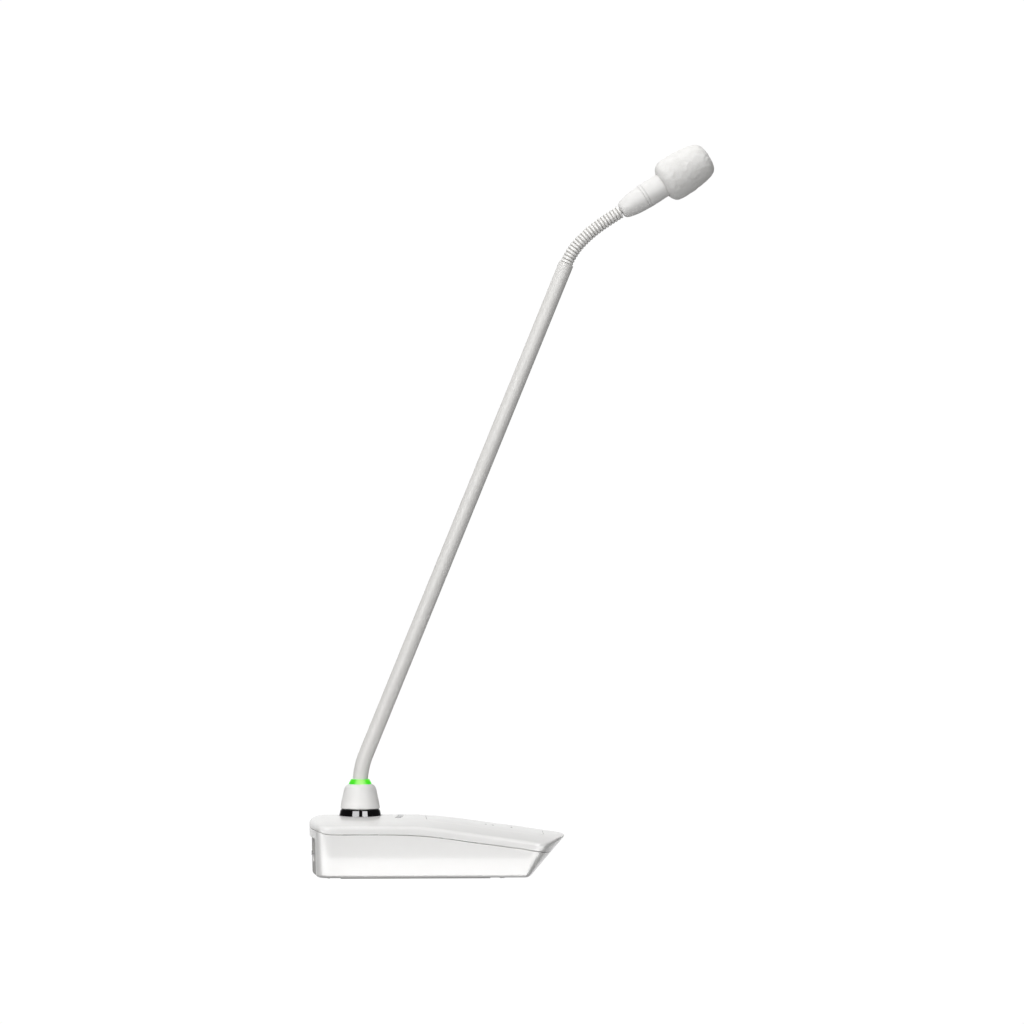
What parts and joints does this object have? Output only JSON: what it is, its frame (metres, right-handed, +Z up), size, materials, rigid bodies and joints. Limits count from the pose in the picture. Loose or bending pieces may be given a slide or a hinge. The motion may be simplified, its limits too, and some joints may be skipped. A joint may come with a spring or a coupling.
{
  "type": "gooseneck podium microphone",
  "caption": "Desktop gooseneck microphone: wireless desk base with press button, leaning rigid stem, flexible corrugated neck and slim head under a foam windscreen.",
  "frame": {"origin": "on the desk plane, directly under the axis of the stem socket, at the middle of the anti-slip pad's width", "axes": "+Z up from the desk, +X towards the base's front edge, +Y towards the side away from the three status lights"},
  "size_m": [0.197, 0.071, 0.3549],
  "materials": {
    "white_plastic": "satin gloss moulded white plastic",
    "foam": "open-cell white acoustic foam, fine pores",
    "painted_tube": "smooth semi-gloss white paint",
    "dark_window": "gloss smoked plastic",
    "dark_chrome": "polished dark chrome",
    "green_light": "frosted light ring, lit green",
    "pad_rubber": "matte anti-slip rubber",
    "silicone": "matte silicone keypad",
    "circuit_board": "solder-masked board",
    "battery_wrap": "shrink-wrapped cell",
    "steel": "nickel-plated steel",
    "gold_contact": "gold-plated contact",
    "black_plastic": "matte black moulded plastic"
  },
  "bodies": {
    "base": {"lower_housing": "white_plastic", "top_cover": "white_plastic", "anti_slip_pad": "pad_rubber", "status_window": "dark_window", "main_circuit_board": "circuit_board", "battery_pack": "battery_wrap", "button_board": "circuit_board", "button_keypad": "silicone", "antenna_left": "steel", "antenna_right": "steel", "usb_connector": "steel", "headphone_jack": "black_plastic", "power_switch_body": "black_plastic", "charge_contact_1": "gold_contact", "charge_contact_2": "gold_contact", "charge_contact_3": "gold_contact", "base_screw_1": "steel", "base_screw_2": "steel", "base_screw_3": "steel", "base_screw_4": "steel", "socket_barrel": "steel", "socket_nut": "steel", "pin_carrier": "black_plastic", "socket_pin_1": "gold_contact", "socket_pin_2": "gold_contact", "socket_pin_3": "gold_contact", "socket_pin_4": "gold_contact", "socket_pin_5": "gold_contact", "socket_pin_6": "gold_contact", "socket_ring": "dark_chrome"},
    "button": {"mute_button": "white_plastic", "status_led_1": "dark_window", "status_led_2": "dark_window", "status_led_3": "dark_window"},
    "power_slider": {"power_switch_slider": "black_plastic"},
    "stem": {"plug_shell": "steel", "plug_insert": "black_plastic", "collar_skirt": "white_plastic", "light_ring": "green_light", "led_ring_board": "circuit_board", "stem_tube": "painted_tube", "stem_cable": "black_plastic"},
    "neck_01": {"neck_link_01": "painted_tube"},
    "neck_02": {"neck_link_02": "painted_tube"},
    "neck_03": {"neck_link_03": "painted_tube"},
    "neck_04": {"neck_link_04": "painted_tube"},
    "neck_05": {"neck_link_05": "painted_tube"},
    "neck_06": {"neck_link_06": "painted_tube"},
    "neck_07": {"neck_link_07": "painted_tube"},
    "neck_08": {"neck_link_08": "painted_tube"},
    "neck_09": {"neck_link_09": "painted_tube"},
    "neck_10": {"neck_link_10": "painted_tube"},
    "head": {"head_shell": "white_plastic", "trim_band": "white_plastic", "capsule_housing": "white_plastic", "preamp_board": "circuit_board", "capsule": "steel", "capsule_grille": "black_plastic"},
    "foam": {"windscreen": "foam"}
  },
  "joints": [
    {"name": "mute_press", "type": "slide", "parent": "base", "child": "button", "axis": [0, 0, -1], "range_m": [0, 0.0008], "stiffness_N_per_m": 1200, "springref_m": -0.001},
    {"name": "power_slide", "type": "slide", "parent": "base", "child": "power_slider", "axis": [0, 1, 0], "range_m": [0, 0.003]},
    {"name": "stem_lift", "type": "slide", "parent": "base", "child": "stem", "axis": [0, 0, 1], "range_m": [0, 0.022]},
    {"name": "neck_pitch_1", "type": "hinge", "parent": "stem", "child": "neck_01", "pos_m": [0.10033, 0, 0.29703], "axis": [0, 1, 0], "range_deg": [-13, 8]},
    {"name": "neck_side_1", "type": "hinge", "parent": "neck_01", "child": "neck_02", "pos_m": [0.10196, 0, 0.30036], "axis": [0.8703, 0, -0.4924], "range_deg": [-12, 12]},
    {"name": "neck_pitch_2", "type": "hinge", "parent": "neck_02", "child": "neck_03", "pos_m": [0.10395, 0, 0.30347], "axis": [0, 1, 0], "range_deg": [-13, 8]},
    {"name": "neck_side_2", "type": "hinge", "parent": "neck_03", "child": "neck_04", "pos_m": [0.10624, 0, 0.30637], "axis": [0.7566, 0, -0.6539], "range_deg": [-12, 12]},
    {"name": "neck_pitch_3", "type": "hinge", "parent": "neck_04", "child": "neck_05", "pos_m": [0.10879, 0, 0.30908], "axis": [0, 1, 0], "range_deg": [-13, 8]},
    {"name": "neck_side_3", "type": "hinge", "parent": "neck_05", "child": "neck_06", "pos_m": [0.11151, 0, 0.31158], "axis": [0.6528, 0, -0.7575], "range_deg": [-12, 12]},
    {"name": "neck_pitch_4", "type": "hinge", "parent": "neck_06", "child": "neck_07", "pos_m": [0.11437, 0, 0.31391], "axis": [0, 1, 0], "range_deg": [-13, 8]},
    {"name": "neck_side_4", "type": "hinge", "parent": "neck_07", "child": "neck_08", "pos_m": [0.11736, 0, 0.31612], "axis": [0.5772, 0, -0.8166], "range_deg": [-12, 12]},
    {"name": "neck_pitch_5", "type": "hinge", "parent": "neck_08", "child": "neck_09", "pos_m": [0.12042, 0, 0.3182], "axis": [0, 1, 0], "range_deg": [-13, 8]},
    {"name": "neck_side_5", "type": "hinge", "parent": "neck_09", "child": "neck_10", "pos_m": [0.12352, 0, 0.32022], "axis": [0.5383, 0, -0.8428], "range_deg": [-12, 12]},
    {"name": "neck_pitch_6", "type": "hinge", "parent": "neck_10", "child": "head", "pos_m": [0.12665, 0, 0.32221], "axis": [0, 1, 0], "range_deg": [-13, 8]},
    {"name": "windscreen_pull", "type": "slide", "parent": "head", "child": "foam", "axis": [0.846, 0, 0.5332], "range_m": [0, 0.022]}
  ],
  "couplings": [
    {"joint": "neck_pitch_2", "follows": "neck_pitch_1", "ratio": 1},
    {"joint": "neck_side_2", "follows": "neck_side_1", "ratio": 1},
    {"joint": "neck_pitch_3", "follows": "neck_pitch_1", "ratio": 1},
    {"joint": "neck_side_3", "follows": "neck_side_1", "ratio": 1},
    {"joint": "neck_pitch_4", "follows": "neck_pitch_1", "ratio": 1},
    {"joint": "neck_side_4", "follows": "neck_side_1", "ratio": 1},
    {"joint": "neck_pitch_5", "follows": "neck_pitch_1", "ratio": 1},
    {"joint": "neck_side_5", "follows": "neck_side_1", "ratio": 1},
    {"joint": "neck_pitch_6", "follows": "neck_pitch_1", "ratio": 1}
  ]
}
